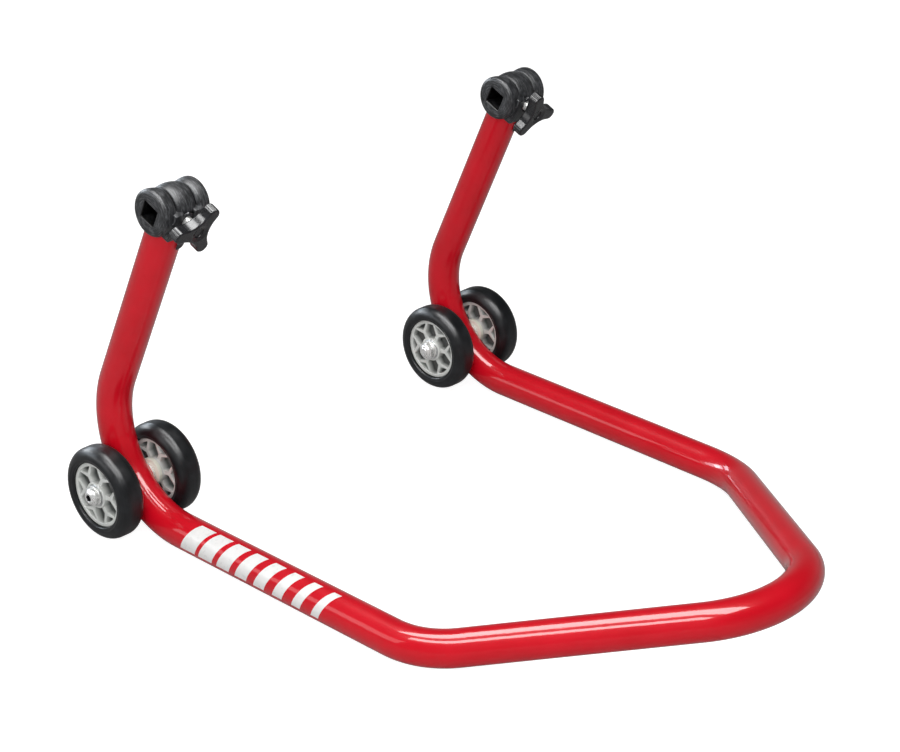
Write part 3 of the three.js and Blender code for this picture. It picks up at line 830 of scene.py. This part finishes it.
def bearing_mesh():
    """Outer ring, recessed shield and inner ring, in one turned body."""
    half = BEARING_WIDTH / 2
    inner_land, outer_land, recess = 6.6 * MM, 9.6 * MM, 0.45 * MM
    face = [
        (FREE_BORE, half),
        (inner_land, half),
        (inner_land, half - recess),
        (outer_land, half - recess),
        (outer_land, half),
        (BEARING_RADIUS, half),
    ]
    rounding = [0.3 * MM, 0.15 * MM, 0.1 * MM, 0.1 * MM, 0.15 * MM, 0.35 * MM]
    return turned(filleted(both_sides(face), rounding + rounding[::-1], 3))


def wheels():
    tyre, rim, bearing = tyre_mesh(), rim_mesh(), bearing_mesh()
    sleeve_half = HUB_HALF_LENGTH - BEARING_WIDTH - 0.3 * MM
    sleeve = turned_ring(THREAD_RADIUS + 0.2 * MM, 7 * MM, sleeve_half, 0.2 * MM)
    for side in SIDES:
        for place in PLACES:
            wheel = f"{side}_{place}_wheel"
            centre = Matrix.Translation(JOINTS[f"{wheel}_spin"]["pos_m"])
            turn = Matrix.Rotation(math.radians(RIM_REST_TURN), 4, "X")
            show(moved(tyre, centre), f"{wheel}_tyre", TYRE_RUBBER)
            show(moved(rim, centre @ turn), f"{wheel}_rim", RIM_PLASTIC)
            show(moved(sleeve, centre), f"{wheel}_bearing_sleeve", BARE_STEEL)
            for end, direction in SIDES.items():
                offset = direction * (HUB_HALF_LENGTH - BEARING_WIDTH / 2)
                along = Matrix.Translation((offset, 0, 0))
                show(moved(bearing, centre @ along), f"{wheel}_bearing_{end}", BEARING_STEEL)


# ---------------- axle hardware


def hex_prism(across_flats, half_length):
    """A hexagonal prism along X."""
    corners = [polar(across_flats / math.sqrt(3), 60 * i + 30) for i in range(6)]
    rings = [[Vector((x, c.x, c.y)) for c in corners] for x in (-half_length, half_length)]
    return finished(swept(rings, capped=True))


def node_span(node):
    """The middle of a CAD node, and its half length along X and radius across it."""
    low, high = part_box(node)
    return (low + high) / 2, (high.x - low.x) / 2, (high.z - low.z) / 2


def bolt_head_mesh():
    """A button head that stands on x = 0 and rises towards -X, with a hexagonal key recess."""
    top = -BOLT_HEAD_HEIGHT
    profile = [
        (0, top),
        (BOLT_TOP_RADIUS, top),
        (BOLT_HEAD_RADIUS, -BOLT_RIM_HEIGHT),
        (BOLT_HEAD_RADIUS, 0),
        (0, 0),
    ]
    head = turned(filleted(profile, [0, 1.6 * MM, 0.9 * MM, 0.3 * MM, 0], 6))
    key = moved(hex_prism(KEY_ACROSS_FLATS, KEY_DEPTH), Matrix.Translation((top, 0, 0)))
    corner = KEY_ACROSS_FLATS / math.sqrt(3)
    lead = turned([(0, top - MM), (corner + 1.2 * MM, top - MM), (0, top + corner)], 48)
    return boolean(head, "DIFFERENCE", key, lead)


def facing_out(side, point):
    """The place on the axle where a piece's -X points out of the stand."""
    place = Matrix.Translation(point)
    return place @ Matrix.Rotation(math.pi, 4, "Z") if SIDES[side] > 0 else place


def axle_bolt(side):
    """Head on the outside of the stand, plain shank through both wheels, thread at the far end."""
    middle, half, _ = node_span(f"{side}_axle_bolt")
    tip = 2 * half - BOLT_HEAD_HEIGHT
    shank_end = tip - BOLT_THREAD_LENGTH
    shank = rod(BOLT_SHANK_RADIUS, -0.5 * MM, shank_end)
    thread = threaded_rod(shank_end - 0.4 * MM, tip)

    # The hexagonal key recess is marked for painted shade.
    def in_key(x, y, z):
        return 0.2 * MM - BOLT_HEAD_HEIGHT < x < -0.2 * MM and math.hypot(y, z) < 4 * MM

    bolt = mark_painted_shade(joined(bolt_head_mesh(), shank, thread), in_key)
    under_head = middle + Vector((SIDES[side] * (half - BOLT_HEAD_HEIGHT), 0, 0))
    show(moved(bolt, facing_out(side, under_head)), f"{side}_axle_bolt", ZINC)


def axle_nut(side):
    """A self-locking nut: a chamfered hexagon with a round collar on its free side."""
    middle, half, _ = node_span(f"{side}_axle_nut")
    corner = NUT_ACROSS_FLATS / math.sqrt(3)
    hex_end = half - NUT_COLLAR_HEIGHT
    chamfer_radius, chamfer_height = corner - 1.2 * MM, 0.9 * MM
    envelope = [
        (0, -half),
        (chamfer_radius, -half),
        (corner + 0.2 * MM, -half + chamfer_height),
        (corner + 0.2 * MM, hex_end - chamfer_height),
        (chamfer_radius, hex_end),
        (NUT_COLLAR_RADIUS, hex_end),
        (NUT_COLLAR_RADIUS, half - 1.2 * MM),
        (NUT_COLLAR_RADIUS - MM, half),
        (0, half),
    ]
    rounding = [0, 0.3 * MM, 0.2 * MM, 0.2 * MM, 0.3 * MM, 0.4 * MM, 0.5 * MM, 0.4 * MM, 0]
    body = turned(filleted(envelope, rounding, 3))
    nut = boolean(body, "INTERSECT", hex_prism(NUT_ACROSS_FLATS, 2 * half))
    nut = boolean(nut, "DIFFERENCE", rod(TIGHT_BORE, -2 * half, 2 * half))
    show(moved(nut, facing_out(side, middle)), f"{side}_axle_nut", ZINC)


def knee_bend_centre(side):
    """The centre of the bend that the axle crosses, in side view."""
    inward = head_place(side).col[1]
    turn = math.pi / 2 + math.atan2(inward.z, inward.y)
    _, knee, _ = tube_corners(side)
    return Vector((0, knee.y - BEND_RADIUS * math.tan(turn / 2), TUBE_RADIUS + BEND_RADIUS))


def weld_ring(middle, sleeve_radius, outward, direction):
    """The bead on one side of the tube: it follows the saddle where the axle sleeve leaves it."""
    steps, segments = 120, 12
    rings = []
    for i in range(steps):
        angle = math.tau * i / steps
        radial = Vector((0, math.cos(angle), math.sin(angle)))
        off_centreline = sleeve_radius * radial.dot(outward)
        height = math.sqrt(TUBE_RADIUS**2 - off_centreline**2)
        ripple = WELD_BEAD * (1 + 0.10 * math.cos(30 * angle))
        ring = []
        for k in range(segments):
            turn = math.tau * k / segments
            out = radial * (sleeve_radius + 0.35 * MM + ripple * math.cos(turn))
            along = direction * (height - 0.3 * MM + ripple * math.sin(turn))
            ring.append(middle + out + Vector((along, 0, 0)))
        rings.append(ring)
    return finished(swept(rings, closed=True))


def axle_weld(side):
    """The beads where the axle sleeve meets the tube, one on each side of it."""
    middle, _, sleeve_radius = node_span(f"{side}_axle_sleeve")
    outward = middle - knee_bend_centre(side)
    outward.x = 0
    outward.normalize()
    beads = [weld_ring(middle, sleeve_radius, outward, direction) for direction in (-1, 1)]
    weld = placed(joined(*beads), f"{side}_axle_weld", RED_PAINT, "frame")


def axle_rings(side):
    """Sleeve, spacers and washers: plain rings, each in its CAD node's place."""
    finishes = {
        "axle_sleeve": (ZINC, 0.4 * MM),
        "outer_spacer": (WHITE_NYLON, 0.6 * MM),
        "inner_spacer": (WHITE_NYLON, 0.6 * MM),
        "bolt_washer": (ZINC, 0.3 * MM),
        "nut_washer": (ZINC, 0.3 * MM),
    }
    for name, (material, fillet) in finishes.items():
        node = f"{side}_{name}"
        middle, half, radius = node_span(node)
        mesh = mark_turned(turned_ring(FREE_BORE, radius, half, fillet))
        show(moved(mesh, Matrix.Translation(middle)), node, material)


# ---------------- clamp heads

# Turns for what is built along X: towards the knob, and up the upright.
ACROSS_TO_KNOB = Matrix.Rotation(math.radians(-90), 4, "Z")
ACROSS_TO_UP = Matrix.Rotation(math.radians(-90), 4, "Y")


def sleeve_body():
    """Three rounded ridges with sharp valleys, and a rounded shoulder at each end."""
    shoulder = SLEEVE_HALF_LENGTH - SLEEVE_END_ROUNDING
    shoulder_radius = SLEEVE_RIDGE - SLEEVE_END_ROUNDING
    steps = 180

    def radius_at(x):
        ridge = abs(math.cos(math.pi * x / SLEEVE_RIDGE_SPACING)) ** 0.6
        to_valley = abs(abs(x) - SLEEVE_RIDGE_SPACING / 2)
        slit = VALLEY_SLIT_DEPTH * max(0, 1 - to_valley / VALLEY_SLIT_HALF_WIDTH)
        return SLEEVE_VALLEY + (SLEEVE_RIDGE - SLEEVE_VALLEY) * ridge - slit

    wave = []
    for i in range(steps + 1):
        x = shoulder * (2 * i / steps - 1)
        wave.append((radius_at(x), x))
    first = arc(Vector((shoulder_radius, -shoulder)), SLEEVE_END_ROUNDING, -90, -6, 12)
    last = arc(Vector((shoulder_radius, shoulder)), SLEEVE_END_ROUNDING, 6, 90, 12)
    profile = [(0, -SLEEVE_HALF_LENGTH), *first, *wave, *last, (0, SLEEVE_HALF_LENGTH)]
    return turned(profile, 144, sharp_angle=50)


def square_passage():
    """The square opening along X, flared at both ends so that its edges are chamfered."""
    flare = 0.5 * MM
    sections = [
        (-SLEEVE_HALF_LENGTH - MM, SOCKET_HALF_OPENING + flare + MM),
        (-SLEEVE_HALF_LENGTH + flare, SOCKET_HALF_OPENING),
        (SLEEVE_HALF_LENGTH - flare, SOCKET_HALF_OPENING),
        (SLEEVE_HALF_LENGTH + MM, SOCKET_HALF_OPENING + flare + MM),
    ]
    rings = []
    for x, half in sections:
        corners = [(-half, -half), (half, -half), (half, half), (-half, half)]
        rings.append([Vector((x, p.x, p.y)) for p in filleted(corners, 0.9 * MM, 4)])
    return finished(swept(rings, capped=True))


def locating_tab():
    """A thin tab bent round the back of the upright, on the +X half."""
    radius = TUBE_SEAT_RADIUS + TAB_THICKNESS / 2
    width = radius * math.pi / 2
    corners = [(0, TAB_BOTTOM), (width, TAB_BOTTOM), (width, TAB_TOP), (0, TAB_TOP)]
    outline = []
    for start, end in zip(corners, corners[1:] + corners[:1]):
        for k in range(12):
            outline.append(Vector(start).lerp(Vector(end), k / 12))
    flat = plate([outline], TAB_THICKNESS, 0.35 * MM, 2)
    bm = bmesh.new()
    bm.from_mesh(flat)
    long_edges = [edge for edge in bm.edges if edge.calc_length() > 3 * MM]
    bmesh.ops.subdivide_edges(bm, edges=long_edges, cuts=2)
    bmesh.ops.triangulate(bm, faces=bm.faces)
    for vertex in bm.verts:
        u, height, depth = vertex.co
        at = radius + depth
        vertex.co = (at * math.sin(u / radius), -at * math.cos(u / radius), height)
    return finished(bm)


def pad_block(middle, half_width, bottom, top):
    """A rounded block that ends in the pad's face, which is towards the knob."""
    low = (middle - half_width, -PAD_FACE, bottom)
    return box_mesh(low, (middle + half_width, -2 * MM, top), PAD_EDGE)


def sleeve_cuts():
    """The room inside the rubber for socket, bar, upright, clamp nut and stud."""
    room = SOCKET_HALF_SIZE + 0.3 * MM
    length = SOCKET_HALF_LENGTH + 0.3 * MM
    below = 60 * MM
    seat = rod(TUBE_SEAT_RADIUS, -below, -SOCKET_HALF_SIZE, 144)
    nut_room = rod(NUT_ROOM_RADIUS, 0, NUT_ROOM_DEPTH, 48)
    stud_room = [
        (0, 0),
        (STUD_ROOM_RADIUS, 0),
        (STUD_ROOM_RADIUS, PAD_FACE - MM),
        (STUD_ROOM_RADIUS + 2 * MM, PAD_FACE + MM),
        (0, PAD_FACE + MM),
    ]
    return (
        box_mesh((-length, -room, -room), (length, room, room)),
        square_passage(),
        moved(seat, ACROSS_TO_UP),
        moved(nut_room, ACROSS_TO_KNOB),
        moved(turned(stud_room, 64), ACROSS_TO_KNOB),
    )


def sleeve_mesh():
    """The rubber sleeve in the head's own frame, with its passage and its slits marked for painted shade."""
    def in_painted_shade(x, y, z):
        in_passage = max(abs(y), abs(z)) < SOCKET_HALF_OPENING + 0.6 * MM
        in_slit = math.hypot(y, z) < SLEEVE_VALLEY - 0.1 * MM and abs(x) < SLEEVE_RIDGE_SPACING
        return in_passage or in_slit

    pad = pad_block(0, PAD_HALF_WIDTH, PAD_BOTTOM, PAD_BROAD_TOP)
    valleys = (-SLEEVE_RIDGE_SPACING / 2, SLEEVE_RIDGE_SPACING / 2)
    ledges = [pad_block(valley, LEDGE_HALF_WIDTH, -2 * MM, PAD_TOP) for valley in valleys]
    body = boolean(sleeve_body(), "UNION", pad, *ledges, locating_tab())
    return mark_painted_shade(mark_turned(boolean(body, "DIFFERENCE", *sleeve_cuts())), in_painted_shade)


def rib_groove(angle):
    """How deep the grooves between the ribs are, at an angle from the middle of a lobe's tip."""
    if abs(angle) >= KNOB_RIB_SPAN:
        return 0
    fading = 1 - (angle / KNOB_RIB_SPAN) ** 6
    wave = 0.5 - 0.5 * math.cos(math.radians(angle * KNOB_RIBS_PER_TURN))
    return KNOB_RIB_DEPTH * fading * wave


def knob_outline(inset):
    """Three lobes with ribbed round tips, joined by hollow flanks that are tangent to the tips."""
    slack = KNOB_LOBE_TIP - KNOB_WAIST
    flank_centre = (KNOB_LOBE_CENTRE**2 - slack**2) / (KNOB_LOBE_CENTRE + 2 * slack)
    flank = flank_centre - KNOB_WAIST + inset
    touching = polar(flank_centre, 60) - Vector((KNOB_LOBE_CENTRE, 0))
    touch = math.degrees(math.atan2(touching.y, touching.x))
    opening = 120 - touch
    outline = []
    for turn in (0, 120, 240):
        lobe = polar(KNOB_LOBE_CENTRE, turn)
        for i in range(KNOB_TIP_STEPS + 1):
            angle = touch * (2 * i / KNOB_TIP_STEPS - 1)
            outline.append(lobe + polar(KNOB_LOBE_TIP - inset - rib_groove(angle), turn + angle))
        inward = turn + 240
        hollow = arc(polar(flank_centre, turn + 60), flank, inward + opening, inward - opening, 18)
        outline += hollow[1:-1]
    return outline


def knob_mesh():
    """The knob in the head's own frame, before its rest turn: rounded edges and a dished front."""
    back, front, edge = KNOB_BACK, KNOB_BACK + KNOB_THICKNESS, KNOB_EDGE
    rounded_side = [
        *arc(Vector((edge, back + edge)), edge, 270, 180, 6),
        *arc(Vector((edge, front - edge)), edge, 180, 90, 6),
    ]
    body = [[Vector((p.x, -y, p.y)) for p in knob_outline(inset)] for inset, y in rounded_side]
    directions = [point.normalized() for point in knob_outline(edge)]

    def circle(radius, y):
        """A circle with a point in line with each point of the outline."""
        return [Vector((radius * d.x, -y, radius * d.y)) for d in directions]

    stud_hole = [
        circle(TIGHT_BORE, STUD_END + 0.1 * MM),
        circle(TIGHT_BORE, back + 0.4 * MM),
        circle(TIGHT_BORE + 0.4 * MM, back),
    ]
    dish_profile = [
        (KNOB_DISH_RADIUS + 0.3 * MM, 0.5 * MM),
        (KNOB_DISH_RADIUS, 0),
        (KNOB_WELL_RADIUS + 0.3 * MM, -KNOB_DISH_DEPTH),
        (KNOB_WELL_RADIUS, -KNOB_WELL_DEPTH),
        (KNOB_WELL_RADIUS - 0.8 * MM, -KNOB_WELL_DEPTH),
    ]
    rounded_dish = filleted(dish_profile, [0, 0.4 * MM, 0.5 * MM, 0.4 * MM, 0], 3)
    dish = [circle(KNOB_DISH_RADIUS + 0.6 * MM, front)]
    dish += [circle(radius, front + rise) for radius, rise in rounded_dish if rise < 0]
    return finished(swept(stud_hole + body + dish, capped=True))


def clamp_heads():
    """Sleeve, knob and stud of both heads."""
    sleeve, knob = sleeve_mesh(), knob_mesh()
    stud = moved(threaded_rod(STUD_TIP, STUD_END), ACROSS_TO_KNOB)
    for side in SIDES:
        place = head_place(side)
        turn = Matrix.Rotation(-math.radians(KNOB_REST_TURN[side]), 4, "Y")
        show(moved(sleeve, place), f"{side}_rubber_sleeve", SLEEVE_RUBBER)
        show(moved(knob, place @ turn), f"{side}_knob", KNOB_PLASTIC, weighted=True)
        show(moved(stud, place), f"{side}_clamp_stud", ZINC)


def finish_cad_nodes():
    """Steel pieces inside the heads keep their CAD shape."""
    # The socket's near-black steel is painted shade for the inside of the square passage.
    finishes = {"socket": SOCKET_SHADE_STEEL, "clamp_nut": BARE_STEEL, "thrust_pad": BEARING_STEEL}
    for side in SIDES:
        for name, material in finishes.items():
            data = frame["nodes"][f"{side}_{name}"].data
            data.materials.clear()
            data.materials.append(material)


# ---------------- floor, light and camera

CAMERA_AZIMUTH = 47.1
CAMERA_ELEVATION = 25.44
CAMERA_ROLL = 0.48
CAMERA_DISTANCE = 2.1
CAMERA_AIM = Vector((0.0128, 0.0971, 0.1380))
CAMERA_LENS = 85.48
SENSOR_WIDTH = 36


def camera():
    azimuth, elevation = math.radians(CAMERA_AZIMUTH), math.radians(CAMERA_ELEVATION)
    forward = Vector((
        math.sin(azimuth) * math.cos(elevation),
        math.cos(azimuth) * math.cos(elevation),
        -math.sin(elevation),
    ))
    level = Vector((math.cos(azimuth), -math.sin(azimuth), 0))
    upright = level.cross(forward)
    roll = math.radians(CAMERA_ROLL)
    right = level * math.cos(roll) + upright * math.sin(roll)
    up = upright * math.cos(roll) - level * math.sin(roll)
    data = bpy.data.cameras.new("camera")
    data.lens = CAMERA_LENS
    data.sensor_width = SENSOR_WIDTH
    data.clip_start, data.clip_end = 0.05, 50
    obj = bpy.data.objects.new("camera", data)
    obj.matrix_world = Matrix((right, up, -forward)).transposed().to_4x4()
    obj.location = CAMERA_AIM - forward * CAMERA_DISTANCE
    bpy.context.scene.collection.objects.link(obj)
    bpy.context.scene.camera = obj


def panel(name, centre, size, radiance, aim, shine_only=False, colour=(1, 1, 1)):
    """A rectangular soft light that faces the aim point. Shine-only lights show in reflections."""
    data = bpy.data.lights.new(name, "AREA")
    data.shape = "RECTANGLE"
    data.size, data.size_y = size
    data.energy = radiance * math.pi * size[0] * size[1]
    data.color = colour
    obj = bpy.data.objects.new(name, data)
    obj.location = centre
    obj.rotation_euler = (Vector(aim) - Vector(centre)).to_track_quat("-Z", "Y").to_euler()
    obj.visible_diffuse = not shine_only
    obj.visible_glossy = shine_only
    obj.visible_camera = False
    bpy.context.scene.collection.objects.link(obj)


def lights():
    """Panels overhead, at the side and behind for the shine, and broad soft light."""
    sky = (0.8, 0.9, 1)
    panel("shine_right", (-0.2, -0.07, 1.5), (0.6, 1.85), 15, (-0.2, -0.07, 0), shine_only=True)
    panel("shine_left", (-1.06, -0.2, 1.5), (0.4, 1.6), 15, (-1.06, -0.2, 0), shine_only=True)
    panel("shine_side", (-1.25, 0.95, 0.55), (1.3, 0.5), 2.2, (0, 0.95, 0.55), shine_only=True)
    panel("shine_back", (-0.35, 2.3, 0.9), (0.6, 0.4), 11, (0.1, 0, 0.05), shine_only=True)
    panel("glow_back", (-0.35, 2.4, 0.95), (2.8, 0.6), 8, (0, 0.2, 0.1), shine_only=True, colour=sky)
    panel("soft_above", (-0.4, 0, 1.9), (2.2, 2.2), 1.7, (-0.2, 0, 0))
    panel("soft_left", (-1.9, -0.9, 1.1), (1.6, 1.2), 2.8, (0, 0.1, 0.15))
    panel("soft_front", (-1.5, -1.3, 1.15), (0.8, 0.8), 4.5, (0, 0.1, 0.15))


def floor():
    """A plain studio floor that shows white to the camera."""
    surface = Surface("floor")
    surface.set(Base_Color=(0.42, 0.42, 0.42, 1), Roughness=0.9, Specular_IOR_Level=0.0)
    surface.set(Emission_Color=(1, 1, 1, 1))
    seen = surface.new("ShaderNodeLightPath").outputs["Is Camera Ray"]
    surface.link(surface.spread(seen, 0, 1, 0, 0.9), surface.shader.inputs["Emission Strength"])
    bm = bmesh.new()
    bmesh.ops.create_grid(bm, x_segments=8, y_segments=8, size=40)
    mesh = bpy.data.meshes.new("floor")
    bm.to_mesh(mesh)
    bm.free()
    mesh.materials.append(surface.material)
    obj = bpy.data.objects.new("floor", mesh)
    obj.location.z = -0.1 * MM
    bpy.context.scene.collection.objects.link(obj)


def studio_room():
    """Even soft light, white to the camera, and dark in reflections but for a low pale band."""
    world = bpy.data.worlds.new("studio")
    bpy.context.scene.world = world
    world.use_nodes = True
    nodes, link = world.node_tree.nodes, world.node_tree.links.new
    background = nodes["Background"]
    background.inputs["Color"].default_value = (1, 1, 1, 1)
    split = nodes.new("ShaderNodeSeparateXYZ")
    link(nodes.new("ShaderNodeTexCoord").outputs["Generated"], split.inputs["Vector"])
    reflected = nodes.new("ShaderNodeMapRange")
    for socket, number in zip(reflected.inputs[1:5], (0.0, 0.5, 0.30, 0.05)):
        socket.default_value = number
    link(split.outputs["Z"], reflected.inputs["Value"])
    choice = nodes.new("ShaderNodeMix")
    choice.inputs["A"].default_value = 0.28
    path = nodes.new("ShaderNodeLightPath")
    link(path.outputs["Is Glossy Ray"], choice.inputs["Factor"])
    link(reflected.outputs["Result"], choice.inputs["B"])
    seen = nodes.new("ShaderNodeMath")
    seen.operation = "ADD"
    link(choice.outputs["Result"], seen.inputs[0])
    link(path.outputs["Is Camera Ray"], seen.inputs[1])
    link(seen.outputs[0], background.inputs["Strength"])


# ---------------- the stand

frame_tube()
arm_decal()
wheels()
for side in SIDES:
    axle_bolt(side)
    axle_nut(side)
    axle_weld(side)
    axle_rings(side)
clamp_heads()
finish_cad_nodes()

floor()
studio_room()
lights()
camera()
bpy.context.scene.view_settings.view_transform = "Standard"
